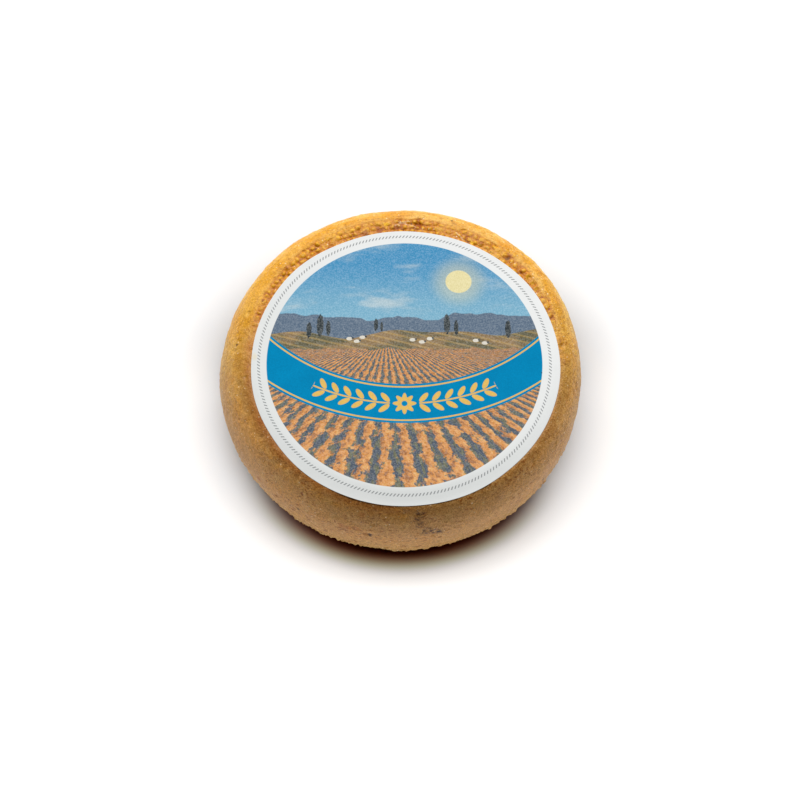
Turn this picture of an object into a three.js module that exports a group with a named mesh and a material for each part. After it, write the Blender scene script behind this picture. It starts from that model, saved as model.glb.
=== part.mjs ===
import * as THREE from 'three';

// A whole wheel of aged sheep's cheese with a round paper label on its top face.
// Millimetres, +Z up. The wheel rests on z = 0, the origin is the middle of its foot,
// and -Y is the side that faces the viewer.

// ---- Driving dimensions of the wheel ----
const WHEEL_RADIUS = 90; // at the widest level of the side
const WHEEL_HEIGHT = 52;
const SIDE_BULGE = 15.6; // from the edge of the flat faces out to the widest level
const SIDE_SQUARENESS = 2.2; // 2 makes the side's section an ellipse, and more a squarer one
const TOP_SHIFT = 2.4; // the top face lies this far to the right of the foot
const FLAT_RADIUS = WHEEL_RADIUS - SIDE_BULGE;

// Long, shallow waves round the rind, each turning a little with the level.
const RIND_WAVES = [
  { lobes: 2, height: 0.18, phase: 3.2, twist: 0.2 },
  { lobes: 3, height: 0.18, phase: -0.3, twist: -0.3 },
  { lobes: 5, height: 0.16, phase: 3.2, twist: 0.3 },
  { lobes: 7, height: 0.09, phase: -2.6, twist: 0.5 },
  { lobes: 16, height: 0.08, phase: 1.3, twist: 1.9 },
];

// ---- The mould's imprint: rows of small rounded squares near the edge of the top face ----
const IMPRINT_OUTER_RADIUS = 76.4;
const IMPRINT_ROWS = 3;
const IMPRINT_ROW_PITCH = 2.9;
const IMPRINT_COLUMNS = 144; // in a full turn
const IMPRINT_DEPTH = 0.75; // of the grooves between the squares
const IMPRINT_START = THREE.MathUtils.degToRad(6); // the arc that the label leaves bare
const IMPRINT_END = THREE.MathUtils.degToRad(174);
const IMPRINT_FADE = THREE.MathUtils.degToRad(10); // at both ends of the arc
const SHALLOWEST_SQUARE = 0.45; // share of the depth round the faintest squares
const IMPRINT_OUTER_SHARE = 0.4; // of the depth at the imprint's outer edge

// ---- Driving dimensions of the label ----
const LABEL_RADIUS = 75.4;
const LABEL_THICKNESS = 0.4;
const LABEL_GAP = 0.3; // between the rind and the paper
const LABEL_CENTRE = new THREE.Vector2(2.7, -6.6); // stuck on a little to the front right
const LABEL_BLISTER = 0.4; // the edge stands out this far at the back left
const LABEL_BLISTER_ANGLE = THREE.MathUtils.degToRad(135);
const LABEL_BLISTER_SPAN = THREE.MathUtils.degToRad(14);
const LABEL_WAVES = [
  { lobes: 3, height: 0.2, phase: 0.9 },
  { lobes: 7, height: 0.12, phase: 3.4 },
  { lobes: 11, height: 0.08, phase: 1.7 },
];

// ---- Fineness of the meshes ----
const SIDE_STEPS = 14; // from the foot's edge up to the edge of the top's flat
const TURN_STEPS = 132; // round the side
const STEPS_IN_SQUARE = 3; // along and across each square of the imprint
const HIDDEN_STEPS = 24; // of an imprint ring where the label covers it
const INNER_TURN_STEPS = 66; // of the rings half-way to the middle of both faces
const LABEL_TURN_STEPS = 120;

const FULL_TURN = Math.PI * 2;

function waveSum(waves, angle, level = 0) {
  const heights = waves.map(({ lobes, height, phase, twist = 0 }) => (
    height * Math.sin(lobes * angle + phase + twist * level)
  ));
  return heights.reduce((sum, height) => sum + height, 0);
}

// A number from 0 to 1 that is always the same for the same two whole numbers.
function scatter(a, b) {
  const wild = Math.sin(a * 12.9898 + b * 78.233) * 43758.5453;
  return wild - Math.floor(wild);
}

// 1 on the line between two squares and nearly 0 inside them.
function groove(place) {
  return Math.cos(Math.PI * place) ** 4;
}

// How deep the imprint lies under the top face, for a place counted in squares.
function imprintDepth(angle, row, rowOffset) {
  const column = (angle / FULL_TURN) * IMPRINT_COLUMNS + row / STEPS_IN_SQUARE;
  const fadeIn = THREE.MathUtils.smoothstep(angle, IMPRINT_START, IMPRINT_START + IMPRINT_FADE);
  const fadeOut = THREE.MathUtils.smoothstep(-angle, -IMPRINT_END, IMPRINT_FADE - IMPRINT_END);
  const grooves = 1 - (1 - groove(column)) * (1 - groove(rowOffset));
  const strength = THREE.MathUtils.lerp(SHALLOWEST_SQUARE, 1, scatter(Math.round(column), row));
  const fromEdge = Math.min(1, row + rowOffset);
  const edge = THREE.MathUtils.lerp(IMPRINT_OUTER_SHARE, 1, fromEdge);
  return IMPRINT_DEPTH * grooves * strength * edge * fadeIn * fadeOut;
}

function evenAngles(count) {
  return Array.from({ length: count }, (_, i) => (i / count) * FULL_TURN);
}

// Close steps where the imprint is bare, then wide ones under the label.
function imprintAngles() {
  const step = FULL_TURN / IMPRINT_COLUMNS / STEPS_IN_SQUARE;
  const closeCount = Math.ceil(IMPRINT_END / step);
  const close = Array.from({ length: closeCount }, (_, i) => i * step);
  const wideStart = closeCount * step;
  const wideStep = (FULL_TURN - wideStart) / HIDDEN_STEPS;
  const wide = Array.from({ length: HIDDEN_STEPS }, (_, i) => wideStart + i * wideStep);
  return [...close, ...wide];
}

// A ring of points; level runs from -1 at the foot to 1 at the top face.
function ring(angles, radius, z, level, depth = () => 0) {
  const shift = TOP_SHIFT * Math.max(0, level);
  const points = angles.map((angle) => {
    const out = radius + waveSum(RIND_WAVES, angle, level);
    return new THREE.Vector3(
      shift + out * Math.cos(angle),
      out * Math.sin(angle),
      z - depth(angle),
    );
  });
  return { angles, points };
}

function footRings() {
  return [
    ring(evenAngles(INNER_TURN_STEPS), FLAT_RADIUS / 2, 0, -1),
    ring(evenAngles(TURN_STEPS), FLAT_RADIUS, 0, -1),
  ];
}

// Squares off a sine or cosine, so that the side's section is a little fuller than an ellipse.
function squared(share) {
  return Math.sign(share) * Math.abs(share) ** (2 / SIDE_SQUARENESS);
}

// The side, from just above the foot's edge up to the shoulder that the imprint begins on.
function sideRings() {
  const angles = evenAngles(TURN_STEPS);
  return Array.from({ length: SIDE_STEPS - 1 }, (_, i) => {
    const lean = -Math.PI / 2 + (Math.PI * (i + 1)) / SIDE_STEPS;
    const radius = FLAT_RADIUS + SIDE_BULGE * squared(Math.cos(lean));
    const level = squared(Math.sin(lean));
    return ring(angles, radius, (WHEEL_HEIGHT * (1 + level)) / 2, level);
  });
}

// The height of the rind at the top, which is flat out to FLAT_RADIUS and then bends down.
function topHeight(radius) {
  const out = Math.max(0, radius - FLAT_RADIUS) / SIDE_BULGE;
  const level = (1 - out ** SIDE_SQUARENESS) ** (1 / SIDE_SQUARENESS);
  return (WHEEL_HEIGHT * (1 + level)) / 2;
}

function imprintRings() {
  const angles = imprintAngles();
  return Array.from({ length: IMPRINT_ROWS * STEPS_IN_SQUARE + 1 }, (_, i) => {
    const place = i / STEPS_IN_SQUARE;
    const row = Math.floor(place);
    const radius = IMPRINT_OUTER_RADIUS - place * IMPRINT_ROW_PITCH;
    const depth = (angle) => imprintDepth(angle, row, place - row);
    return ring(angles, radius, topHeight(radius), 1, depth);
  });
}

function topRings() {
  return [ring(evenAngles(INNER_TURN_STEPS), FLAT_RADIUS / 2, WHEEL_HEIGHT, 1)];
}

// Fills the band between two rings of any number of points with triangles.
function band(lower, upper, firstLower, firstUpper, triangles) {
  const lowerCount = lower.angles.length;
  const upperCount = upper.angles.length;
  const lowerAt = (i) => (i < lowerCount ? lower.angles[i] : FULL_TURN);
  const upperAt = (j) => (j < upperCount ? upper.angles[j] : FULL_TURN);
  let i = 0;
  let j = 0;
  while (i < lowerCount || j < upperCount) {
    const low = firstLower + (i % lowerCount);
    const high = firstUpper + (j % upperCount);
    const stepLower = j >= upperCount || (i < lowerCount && lowerAt(i + 1) <= upperAt(j + 1));
    if (stepLower) {
      i += 1;
      triangles.push(low, firstLower + (i % lowerCount), high);
    } else {
      j += 1;
      triangles.push(low, firstUpper + (j % upperCount), high);
    }
  }
}

// Joins rings, from the foot's middle round to the top's middle, into one closed body.
function closedBody(rings, footMiddle, topMiddle) {
  const points = [footMiddle];
  const triangles = [];
  const firsts = rings.map((each) => {
    const first = points.length;
    points.push(...each.points);
    return first;
  });
  const last = rings.length - 1;
  const inFirst = rings[0].points.length;
  const inLast = rings[last].points.length;
  for (let i = 0; i < inFirst; i += 1) {
    triangles.push(0, firsts[0] + ((i + 1) % inFirst), firsts[0] + i);
  }
  for (let i = 0; i < last; i += 1) {
    band(rings[i], rings[i + 1], firsts[i], firsts[i + 1], triangles);
  }
  for (let i = 0; i < inLast; i += 1) {
    triangles.push(firsts[last] + i, firsts[last] + ((i + 1) % inLast), points.length);
  }
  points.push(topMiddle);
  const geometry = new THREE.BufferGeometry().setFromPoints(points);
  geometry.setIndex(triangles);
  geometry.computeVertexNormals();
  return geometry;
}

function wheelGeometry() {
  const rings = [...footRings(), ...sideRings(), ...imprintRings(), ...topRings()];
  return closedBody(rings, new THREE.Vector3(0, 0, 0), new THREE.Vector3(TOP_SHIFT, 0, WHEEL_HEIGHT));
}

// The middle of the wheel's outline, which its waves move off the foot's middle.
function outlineMiddle(geometry) {
  geometry.computeBoundingBox();
  const middle = geometry.boundingBox.getCenter(new THREE.Vector3());
  return middle.setZ(0);
}

function labelOutline() {
  return evenAngles(LABEL_TURN_STEPS).map((angle) => {
    const fromBlister = (angle - LABEL_BLISTER_ANGLE) / LABEL_BLISTER_SPAN;
    const blister = LABEL_BLISTER * Math.exp(-(fromBlister ** 2));
    const radius = LABEL_RADIUS + waveSum(LABEL_WAVES, angle) + blister;
    return new THREE.Vector2(radius * Math.cos(angle), radius * Math.sin(angle));
  });
}

function labelGeometry() {
  const outline = new THREE.Shape(labelOutline());
  return new THREE.ExtrudeGeometry(outline, { depth: LABEL_THICKNESS, bevelEnabled: false });
}

const rind = new THREE.MeshStandardMaterial({ color: 0xcf9a52, roughness: 0.55, metalness: 0 });
const paper = new THREE.MeshStandardMaterial({ color: 0xe4e6e4, roughness: 0.6, metalness: 0 });

const wheel = new THREE.Mesh(wheelGeometry(), rind);
wheel.name = 'cheese_wheel';

const label = new THREE.Mesh(labelGeometry(), paper);
label.name = 'label';
label.position.set(LABEL_CENTRE.x, LABEL_CENTRE.y, WHEEL_HEIGHT + LABEL_GAP);

const cheese = new THREE.Group();
cheese.add(wheel, label);
cheese.position.copy(outlineMiddle(wheel.geometry)).negate();

export default cheese;
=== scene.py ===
import functools
import math

import bpy
import numpy as np
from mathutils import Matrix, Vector, noise


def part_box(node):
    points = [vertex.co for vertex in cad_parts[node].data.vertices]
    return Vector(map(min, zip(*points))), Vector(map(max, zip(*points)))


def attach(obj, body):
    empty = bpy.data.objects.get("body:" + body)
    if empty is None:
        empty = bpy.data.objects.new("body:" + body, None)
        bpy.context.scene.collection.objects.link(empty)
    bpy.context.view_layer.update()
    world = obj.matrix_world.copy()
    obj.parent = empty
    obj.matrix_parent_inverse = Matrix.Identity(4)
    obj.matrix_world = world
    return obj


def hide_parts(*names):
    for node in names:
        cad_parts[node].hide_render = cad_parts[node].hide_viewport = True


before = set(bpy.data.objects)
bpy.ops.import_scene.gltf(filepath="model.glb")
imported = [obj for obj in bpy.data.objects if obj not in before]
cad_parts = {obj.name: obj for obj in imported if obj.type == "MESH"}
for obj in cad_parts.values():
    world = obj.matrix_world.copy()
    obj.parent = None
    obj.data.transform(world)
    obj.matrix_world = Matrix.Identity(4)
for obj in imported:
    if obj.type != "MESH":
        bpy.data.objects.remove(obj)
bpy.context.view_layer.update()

# A whole wheel of aged sheep's cheese with a round paper label on its top face.
# Sizes are in millimetres; only the meshes and what is placed in the scene are in metres.

MM = 0.001
FULL_TURN = 2 * math.pi

# ---- The wheel's driving dimensions, as in its solid ----
WHEEL_RADIUS = 90.0
WHEEL_HEIGHT = (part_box("cheese_wheel")[1].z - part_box("cheese_wheel")[0].z) / MM
SIDE_BULGE = 15.6
SIDE_SQUARENESS = 2.2
FLAT_RADIUS = WHEEL_RADIUS - SIDE_BULGE
TOP_SHIFT = 2.4  # the top face lies this far to the right of the foot
RIND_WAVES = (  # lobes round the wheel, height, phase, twist with the level
    (2, 0.18, 3.2, 0.2),
    (3, 0.18, -0.3, -0.3),
    (5, 0.16, 3.2, 0.3),
    (7, 0.09, -2.6, 0.5),
    (16, 0.08, 1.3, 1.9),
)

# ---- The mould's imprint ----
IMPRINT_OUTER_RADIUS = 76.4
IMPRINT_ROW_PITCH = 2.9
IMPRINT_COLUMNS = 144
IMPRINT_DEPTH = 0.78
IMPRINT_STRENGTH = 0.92  # at most, as a share of the depth
IMPRINT_START = math.radians(2)
IMPRINT_END = math.radians(178)
IMPRINT_FADE = math.radians(14)
WIDE_SQUARES_END = math.radians(52)  # up to here, from the right, the squares are larger
WIDE_SQUARES_GROWTH = 0.28  # outwards, by this share
WIDE_SQUARES_FEWER = 0.2  # along an arc, by this share
WIDE_SQUARES_BLEND = 0.05  # radians
SHALLOWEST_SQUARE = 0.25  # share of the depth round the faintest squares
SQUARE_SWELL = 0.45  # between the highest and the lowest squares
COLUMN_WANDER = 0.5  # in squares
ROW_WANDER = 0.36

# ---- The rind's form ----
FRONT_FULLNESS = 1.1  # the front's upper edge stands out this much further
FULLEST_RADIUS = 83.0  # the section's radius where it stands out most
FULLNESS_END_RADIUS = 76.0  # and where that has ended above
FULLNESS_RISE = 22.0  # it begins this far along the section from the foot's edge
LEVEL_TOP = 0.6  # the flat of the top is less than this below the wheel's height
LEVEL_TOP_BUMPS = 0.2  # share of the bumps that is left there
LEVEL_FOOT = 0.02  # the foot's points lie lower than this
FOOT_HOLLOWS = 0.1  # share of the relief that shows there, as hollows

# ---- Dents and knobs: place, size and depth ----
NOTCHES = (
    ((59.3, 61.2, 47.6), 1.6, 0.8), ((62.8, 57.5, 47.9), 1.5, 0.9),
    ((71.9, 44.8, 48.6), 1.8, 0.8), ((79.6, 3.2, 51.7), 1.3, 0.8),
    ((-14.7, -88.4, 32.2), 1.6, 0.9), ((2.5, -84.0, 47.4), 1.5, 0.6),
    ((9.8, 72.8, 51.9), 2.2, 0.9), ((64.5, 41.7, 51.9), 1.3, 0.7),
    ((66.4, 38.2, 52.0), 1.2, 1.0), ((68.3, 34.7, 52.0), 1.2, 0.7),
    ((40.5, 62.7, 52.0), 2.0, -0.7), ((-31.2, 65.7, 51.9), 1.8, -0.6),
    ((-7.0, 73.3, 52.0), 2.0, -0.5), ((36.4, 62.1, 52.0), 1.6, -0.5),
)

# ---- The label ----
LABEL_THICKNESS = 0.12
LABEL_LIFT = 0.1  # of its underside over the top's flat
LABEL_CLEARANCE = 0.06  # the rind stays this far below its underside
LABEL_DROOP = 1.25  # of its front edge, which lies past the top's flat
LABEL_DROOP_END = 83.0  # the radius at which it droops by that much
LABEL_RADIUS = 75.4
LABEL_CENTRE = (2.7, -6.6)
LABEL_BLISTER = 0.4
LABEL_BLISTER_ANGLE = math.radians(135)
LABEL_BLISTER_SPAN = math.radians(14)
LABEL_WAVES = ((3, 0.2, 0.9, 0), (7, 0.12, 3.4, 0), (11, 0.08, 1.7, 0))  # as RIND_WAVES
PRINT_CENTRE = (2.3, -5.6)  # the print lies a little off the paper's middle
PRINT_RADIUS = 67.3

# ---- The camera, from the photograph ----
FOCAL_LENGTH = 85
SENSOR_WIDTH = 36
CAMERA_ELEVATION = math.radians(63.23)
CAMERA_DISTANCE = 941.7
CAMERA_TARGET = (0.12, -13.5, WHEEL_HEIGHT / 2)


# ======== The rind's mesh ========

def wave_sum(waves, angle, level=0.0):
    return sum(height * np.sin(lobes * angle + phase + twist * level)
               for lobes, height, phase, twist in waves)


def squared(share):
    return np.sign(share) * np.abs(share) ** (2 / SIDE_SQUARENESS)


def profile():
    """The wheel's half section from the foot's middle to the top's middle: how far along it
    each point lies, its radius and its height."""
    lean = np.linspace(-math.pi / 2, math.pi / 2, 1441)
    radius = np.concatenate([[0], FLAT_RADIUS + SIDE_BULGE * squared(np.cos(lean)), [0]])
    side_height = WHEEL_HEIGHT * (1 + squared(np.sin(lean))) / 2
    height = np.concatenate([[0], side_height, [WHEEL_HEIGHT]])
    along = np.concatenate([[0], np.cumsum(np.hypot(np.diff(radius), np.diff(height)))])
    return along, radius, height


ALONG, PROFILE_RADIUS, PROFILE_HEIGHT = profile()
WHOLE = ALONG[-1]


def top_place(radius):
    """How far along the section the top's point at this radius lies."""
    half = len(ALONG) // 2
    return np.interp(-radius, -PROFILE_RADIUS[half:], ALONG[half:])


START_ANGLE = math.radians(-12)  # of every ring, and of the imprint's bare arc
CLOSE_END = math.radians(192)
CLOSE_STEP = 0.42  # along the bare arc of the imprint
WIDE_STEP = 2.2  # along the arc that the label covers


def even_turn(count):
    return START_ANGLE + np.arange(count) / count * FULL_TURN


def imprint_turn():
    """Close steps round the bare arc of the imprint and wide ones where the label covers it."""
    close = round((CLOSE_END - START_ANGLE) * IMPRINT_OUTER_RADIUS / CLOSE_STEP)
    rest = START_ANGLE + FULL_TURN - CLOSE_END
    wide = round(rest * IMPRINT_OUTER_RADIUS / WIDE_STEP)
    return np.concatenate([
        START_ANGLE + np.arange(close) / close * (CLOSE_END - START_ANGLE),
        CLOSE_END + np.arange(wide) / wide * rest,
    ])


def section_steps(start, end, step):
    return np.linspace(start, end, max(2, round((end - start) / step)), endpoint=False)


FOOT_EDGE = FLAT_RADIUS  # places along the section
SHOULDER = top_place(79)
IMPRINT_INNER = top_place(64)
ZONES = (  # the rings' places along the section, and the angles of their points
    (section_steps(8, FOOT_EDGE - 12, 7), even_turn(96)),  # the foot
    (section_steps(FOOT_EDGE - 12, FOOT_EDGE - 1, 2), even_turn(384)),  # its edge
    (section_steps(FOOT_EDGE - 1, SHOULDER, 0.78), even_turn(768)),  # the side
    (section_steps(SHOULDER, IMPRINT_INNER, CLOSE_STEP), imprint_turn()),  # the imprint
    (section_steps(IMPRINT_INNER, WHOLE - 8, 9), even_turn(96)),  # under the label
)


def lumps(points, size, seed):
    """Smooth noise from about -1 to 1 whose lumps are size wide."""
    shift = Vector((seed * 17.3, seed * 5.9, seed * 11.7))
    return np.array([noise.noise(Vector(p) / size + shift) for p in points])


def groove(place):
    """1 on the line between two squares and nearly 0 inside them."""
    return np.abs(np.cos(math.pi * place)) ** 3.5


def scatter(a, b):
    """A number from 0 to 1 that is always the same for the same two whole numbers."""
    wild = np.sin(a * 12.9898 + b * 78.233) * 43758.5453
    return wild - np.floor(wild)


def smooth(value, low, high):
    """0 up to low and 1 from high on, with a soft change between."""
    share = np.clip((value - low) / (high - low), 0, 1)
    return share * share * (3 - 2 * share)


def slope(along, values):
    """How much the section's radius or height changes round these places along it."""
    half_step = 0.05
    after = np.interp(along + half_step, ALONG, values)
    return after - np.interp(along - half_step, ALONG, values)


def rind_points():
    """Every ring's points on the smooth wheel: the angle, how far along the section, the
    section's radius, the position and the outward normal."""
    angle = np.concatenate([np.tile(turn, len(steps)) for steps, turn in ZONES])
    along = np.concatenate([np.repeat(steps, len(turn)) for steps, turn in ZONES])
    radius = np.interp(along, ALONG, PROFILE_RADIUS)
    height = np.interp(along, ALONG, PROFILE_HEIGHT)
    rise = slope(along, PROFILE_HEIGHT)
    spread = slope(along, PROFILE_RADIUS)
    length = np.hypot(rise, spread)
    out, up = rise / length, -spread / length
    level = 2 * height / WHEEL_HEIGHT - 1
    wide = radius + wave_sum(RIND_WAVES, angle, level) * smooth(radius, 0, FLAT_RADIUS)
    x = TOP_SHIFT * np.maximum(0, level) + wide * np.cos(angle)
    points = np.stack([x, wide * np.sin(angle), height], axis=1)
    normals = np.stack([out * np.cos(angle), out * np.sin(angle), up], axis=1)
    return angle, along, radius, points, normals


def imprint(angle, radius, points):
    """Height of the mould's imprint over the smooth rind, how deep in a groove a point lies,
    and how much of the imprint there is at all."""
    wide_start = WIDE_SQUARES_END - WIDE_SQUARES_BLEND
    wide = 1 - smooth(angle, wide_start, WIDE_SQUARES_END + WIDE_SQUARES_BLEND)
    turned = angle - WIDE_SQUARES_END
    column = turned * (1 - WIDE_SQUARES_FEWER * (turned < 0)) / FULL_TURN * IMPRINT_COLUMNS
    column = column + COLUMN_WANDER * lumps(points, 4.5, 1)
    pitch = IMPRINT_ROW_PITCH * (1 + WIDE_SQUARES_GROWTH * wide)
    place = (IMPRINT_OUTER_RADIUS - radius) / pitch + ROW_WANDER * lumps(points, 5.0, 2)
    row = np.floor(place)
    column = column + row / 3
    chance = scatter(np.floor(column + 0.5), row)
    strength = SHALLOWEST_SQUARE + (1 - SHALLOWEST_SQUARE) * chance
    grooves = 1 - (1 - groove(column)) * (1 - groove(place))
    zone = smooth(place, -0.7, 0.5) * smooth(angle, IMPRINT_START, IMPRINT_START + IMPRINT_FADE)
    zone = zone * (1 - smooth(angle, IMPRINT_END - IMPRINT_FADE, IMPRINT_END))
    zone = zone * (0.6 + 0.4 * smooth(lumps(points, 14.0, 3), -0.5, 0.3))
    zone = zone * IMPRINT_STRENGTH
    swell = SQUARE_SWELL * (scatter(np.floor(column), row + 9) - 0.5) * (1 - grooves)
    lift = (swell - IMPRINT_DEPTH * grooves * strength) * zone
    return lift, grooves * strength * zone, zone


def front_fullness(along, points):
    """How far the front's upper edge stands out, most just below the label's edge."""
    fullest = top_place(FULLEST_RADIUS)
    above = 1 - smooth(along, fullest, top_place(FULLNESS_END_RADIUS))
    below = smooth(along, FOOT_EDGE + FULLNESS_RISE, fullest)
    return FRONT_FULLNESS * above * below * smooth(-points[:, 1], 15, 65)


def rind_relief(points):
    """Height of the rind's own unevenness over the smooth wheel."""
    coarse = 0.3 * lumps(points, 24.0, 4) + 0.22 * lumps(points, 9.0, 5)
    fine = 0.2 * lumps(points, 3.6, 6) + 0.17 * lumps(points, 1.9, 7)
    crumbs = 0.8 * np.maximum(0, lumps(points, 2.6, 8) - 0.25)
    small_crumbs = 0.8 * np.maximum(0, lumps(points, 1.7, 20) - 0.1)
    pits = 1.4 * np.maximum(0, lumps(points, 3.1, 9) - 0.4)
    low = 1 - smooth(points[:, 2], 0.2 * WHEEL_HEIGHT, 0.5 * WHEEL_HEIGHT)
    rough = 0.5 + 0.5 * smooth(lumps(points, 20.0, 10), -0.4, 0.3)
    relief = coarse + (fine + 0.35 * (crumbs + small_crumbs) - pits) * rough
    relief = relief + (0.9 * crumbs + 1.6 * small_crumbs) * low
    for place, size, depth in NOTCHES:
        far = np.linalg.norm(points - np.array(place), axis=1)
        relief = relief - depth * np.exp(-(far / size) ** 2)
    return relief


def from_label_middle(points):
    return np.hypot(points[:, 0] - LABEL_CENTRE[0], points[:, 1] - LABEL_CENTRE[1])


def even_top(points, relief):
    """Takes most of the bumps off the top's flat, and evens it more where the label covers it."""
    level = points[:, 2] > WHEEL_HEIGHT - LEVEL_TOP
    covered = from_label_middle(points) < LABEL_RADIUS - 1
    relief = np.where(level, np.minimum(relief, LEVEL_TOP_BUMPS * relief), relief)
    return np.where(covered & level, LEVEL_TOP_BUMPS * np.minimum(relief, 0), relief)


def label_underside(points, rim):
    """Height of the paper's underside over points of the top. rim is how far out each point
    lies, as a share of the paper's radius."""
    flat = points * [1, 1, 0]
    from_top_middle = np.hypot(flat[:, 0] - TOP_SHIFT, flat[:, 1])
    droop = LABEL_DROOP * smooth(from_top_middle, FLAT_RADIUS - 2, LABEL_DROOP_END)
    curl = 0.08 * smooth(rim, 0.9, 1.0) * (0.5 + lumps(flat, 30.0, 11))
    ripple = 0.05 * lumps(flat, 16.0, 12) + 0.03 * lumps(flat, 6.0, 13)
    return WHEEL_HEIGHT + LABEL_LIFT + ripple - droop + curl


def keep_under_label(points):
    """Lowers what would poke through the paper."""
    rim = from_label_middle(points) / LABEL_RADIUS
    under = (rim < 1.005) & (points[:, 2] > WHEEL_HEIGHT / 2)
    highest = label_underside(points[under], rim[under]) - LABEL_CLEARANCE
    points[under, 2] = np.minimum(points[under, 2], highest)


def band_faces(lower, upper, lower_first, upper_first):
    """Triangles between two rings with different numbers of points."""
    lower_at = np.append(lower, START_ANGLE + FULL_TURN)
    upper_at = np.append(upper, START_ANGLE + FULL_TURN)
    i = j = 0
    faces = []
    while i < len(lower) or j < len(upper):
        low = lower_first + i % len(lower)
        high = upper_first + j % len(upper)
        if j >= len(upper) or (i < len(lower) and lower_at[i + 1] <= upper_at[j + 1]):
            i += 1
            faces.append((low, lower_first + i % len(lower), high))
        else:
            j += 1
            faces.append((low, upper_first + j % len(upper), high))
    return faces


def ring_faces(count, first):
    """Quads between a ring and the next one with as many points."""
    here = first + np.arange(count)
    beside = first + (np.arange(count) + 1) % count
    return np.stack([here, beside, beside + count, here + count], axis=1).tolist()


def rind_faces(foot_middle, top_middle):
    """Faces of the closed body over the rings of ZONES and its two middle points."""
    first = 0
    before = None
    faces = []
    for steps, turn in ZONES:
        count = len(turn)
        if before is not None:
            faces += band_faces(before, turn, first - len(before), first)
        else:
            faces += [(foot_middle, (i + 1) % count, i) for i in range(count)]
        for _ in range(len(steps) - 1):
            faces += ring_faces(count, first)
            first += count
        first += count
        before = turn
    last = first - len(before)
    count = len(before)
    return faces + [(last + i, last + (i + 1) % count, top_middle) for i in range(count)]


def new_mesh_object(name, points, faces, smooth_shading=True):
    mesh = bpy.data.meshes.new(name)
    mesh.from_pydata((np.asarray(points) * MM).tolist(), [], faces)
    mesh.update()
    mesh.polygons.foreach_set("use_smooth", [smooth_shading] * len(mesh.polygons))
    piece = bpy.data.objects.new(name, mesh)
    bpy.context.scene.collection.objects.link(piece)
    return piece


def store(piece, name, values):
    """Keeps one number for each vertex, for the material to read."""
    layer = piece.data.attributes.new(name, "FLOAT", "POINT")
    layer.data.foreach_set("value", np.asarray(values, dtype=np.float32))


def make_wheel():
    """The wheel as one closed body. Its vertices keep how deep they lie in the imprint's
    grooves, how much of the imprint there is and how hollow the rind is."""
    angle, along, radius, points, normals = rind_points()
    lift, depth, zone = imprint(angle, radius, points)
    on_top = smooth(along, SHOULDER - 3, SHOULDER + 1)
    zone = zone * on_top
    relief = even_top(points, rind_relief(points)) + front_fullness(along, points)
    on_foot = points[:, 2] < LEVEL_FOOT
    height = np.where(on_foot, -FOOT_HOLLOWS * np.abs(relief), relief + lift * on_top)
    shaped = points + normals * height[:, None]
    shaped[:, 2] = np.maximum(shaped[:, 2], 0)
    outline_middle = (points.min(axis=0) + points.max(axis=0)) / 2 * [1, 1, 0]
    shaped = shaped - outline_middle
    keep_under_label(shaped)
    ends = np.array([[0, 0, 0], [TOP_SHIFT, 0, WHEEL_HEIGHT]]) - outline_middle
    foot_middle = len(shaped)
    faces = rind_faces(foot_middle, foot_middle + 1)
    wheel = new_mesh_object("wheel", np.vstack([shaped, ends]), faces)
    at_ends = [0, 0]
    store(wheel, "groove", np.append(depth * on_top, at_ends))
    store(wheel, "imprint", np.append(zone, at_ends))
    store(wheel, "hollow", np.append(-height, at_ends))
    return wheel


# ======== The label's mesh ========

LABEL_TURN = 260  # points in each ring
LABEL_RINGS = 46
EDGE_BAND = 0.06  # width of the outermost ring, which keeps the cut edge crisp


def label_edge(angle):
    from_blister = (angle - LABEL_BLISTER_ANGLE) / LABEL_BLISTER_SPAN
    return LABEL_RADIUS + wave_sum(LABEL_WAVES, angle) + LABEL_BLISTER * np.exp(-from_blister ** 2)


def label_points():
    """The paper's upper and lower rings, from the middle outwards, then both middle points."""
    angle = np.arange(LABEL_TURN) / LABEL_TURN * FULL_TURN
    share = np.sqrt(np.linspace(0, 1, LABEL_RINGS)[1:])
    share = np.append(share[:-1], [1 - EDGE_BAND / LABEL_RADIUS, 1])
    out = share[:, None] * label_edge(angle)[None, :]
    x = LABEL_CENTRE[0] + out * np.cos(angle)
    y = LABEL_CENTRE[1] + out * np.sin(angle)
    flat = np.stack([x.ravel(), y.ravel(), np.zeros(x.size)], axis=1)
    under = label_underside(flat, np.repeat(share, LABEL_TURN))
    lower = np.column_stack([flat[:, :2], under])
    upper = np.column_stack([flat[:, :2], under + LABEL_THICKNESS])
    middle_height = WHEEL_HEIGHT + LABEL_LIFT
    ends = [[*LABEL_CENTRE, middle_height], [*LABEL_CENTRE, middle_height + LABEL_THICKNESS]]
    return np.vstack([upper, lower, ends])


def label_faces():
    """The paper's two sides, and apart from them its cut edge."""
    count = LABEL_RINGS * LABEL_TURN
    faces = []
    for ring in range(LABEL_RINGS - 1):
        for quad in ring_faces(LABEL_TURN, ring * LABEL_TURN):
            faces.append(quad[::-1])
            faces.append([count + corner for corner in quad])
    edge = (LABEL_RINGS - 1) * LABEL_TURN
    cut_edge = []
    for i in range(LABEL_TURN):
        j = (i + 1) % LABEL_TURN
        faces.append((2 * count + 1, i, j))
        faces.append((2 * count, count + j, count + i))
        cut_edge.append((edge + i, count + edge + i, count + edge + j, edge + j))
    return faces, cut_edge


def make_label():
    """A disc of paper, thin and closed, that is stuck flat and droops a little past the shoulder."""
    sides, cut_edge = label_faces()
    label = new_mesh_object("paper_label", label_points(), sides + cut_edge)
    shading = [True] * len(sides) + [False] * len(cut_edge)
    label.data.polygons.foreach_set("use_smooth", shading)
    return label


# ======== Materials ========

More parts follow.
